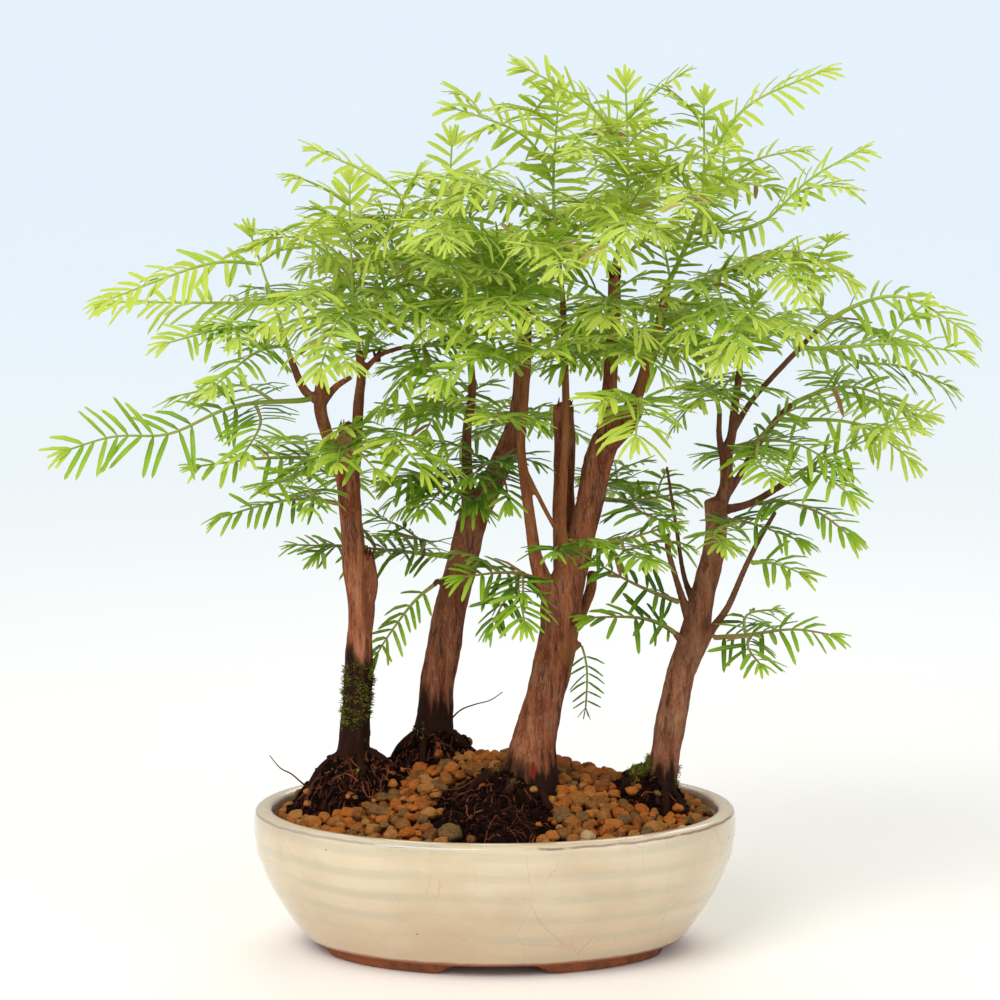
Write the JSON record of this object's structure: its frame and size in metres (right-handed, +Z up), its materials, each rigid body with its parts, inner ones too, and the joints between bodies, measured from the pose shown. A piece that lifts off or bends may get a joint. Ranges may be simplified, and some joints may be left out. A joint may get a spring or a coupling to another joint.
{
  "type": "dawn redwood bonsai forest in a glazed tray",
  "caption": "Forest planting of young dawn redwoods with flat feathery needle sprays, rising from gravelled mounds of soil in a low oval cream glazed bonsai tray on clay feet.",
  "frame": {"origin": "under the middle of the whole forest, on the surface that the tray's feet stand on", "axes": "+Z up, +Y away from the front of the tray, +X to the right seen from the front"},
  "size_m": [0.3447, 0.2134, 0.3433],
  "materials": {
    "glaze": "cream crackle glaze over red-brown clay",
    "soil": "dark moist soil and rootlets",
    "gravel": "dry matt grains",
    "screen": "moulded plastic mesh",
    "bark": "flaky red-brown bark",
    "needles": "soft matt green needles"
  },
  "bodies": {
    "root": {"back_tree_spray_drooping": "needles", "back_tree_spray_front": "needles", "back_tree_spray_high": "needles", "back_tree_spray_leader": "needles", "back_tree_spray_low": "needles", "back_tree_spray_mid": "needles", "back_tree_spray_rear": "needles", "back_tree_spray_top": "needles", "back_tree_wood": "bark", "drain_screen_left": "screen", "drain_screen_right": "screen", "gravel": "gravel", "left_tree_spray_back": "needles", "left_tree_spray_fan": "needles", "left_tree_spray_front": "needles", "left_tree_spray_leader": "needles", "left_tree_spray_long": "needles", "left_tree_spray_low": "needles", "left_tree_spray_mid": "needles", "left_tree_spray_outer": "needles", "left_tree_spray_rear": "needles", "left_tree_spray_right": "needles", "left_tree_wood": "bark", "main_tree_spray_dangling": "needles", "main_tree_spray_fan": "needles", "main_tree_spray_front_high": "needles", "main_tree_spray_front_low": "needles", "main_tree_spray_high_left": "needles", "main_tree_spray_leader": "needles", "main_tree_spray_left": "needles", "main_tree_spray_low_front": "needles", "main_tree_spray_low_left": "needles", "main_tree_spray_low_right": "needles", "main_tree_spray_mid_left": "needles", "main_tree_spray_mid_right": "needles", "main_tree_spray_rear": "needles", "main_tree_spray_rear_low": "needles", "main_tree_spray_rear_right": "needles", "main_tree_spray_right": "needles", "main_tree_spray_right_leader": "needles", "main_tree_spray_second": "needles", "main_tree_wood": "bark", "right_tree_spray_broad": "needles", "right_tree_spray_crown": "needles", "right_tree_spray_front": "needles", "right_tree_spray_high": "needles", "right_tree_spray_inner": "needles", "right_tree_spray_left": "needles", "right_tree_spray_left_crown": "needles", "right_tree_spray_limb": "needles", "right_tree_spray_low": "needles", "right_tree_spray_low_left": "needles", "right_tree_spray_low_outer": "needles", "right_tree_spray_mid": "needles", "right_tree_spray_outer": "needles", "right_tree_spray_rear": "needles", "right_tree_spray_upturned": "needles", "right_tree_wood": "bark", "soil": "soil", "tray": "glaze"}
  },
  "joints": []
}
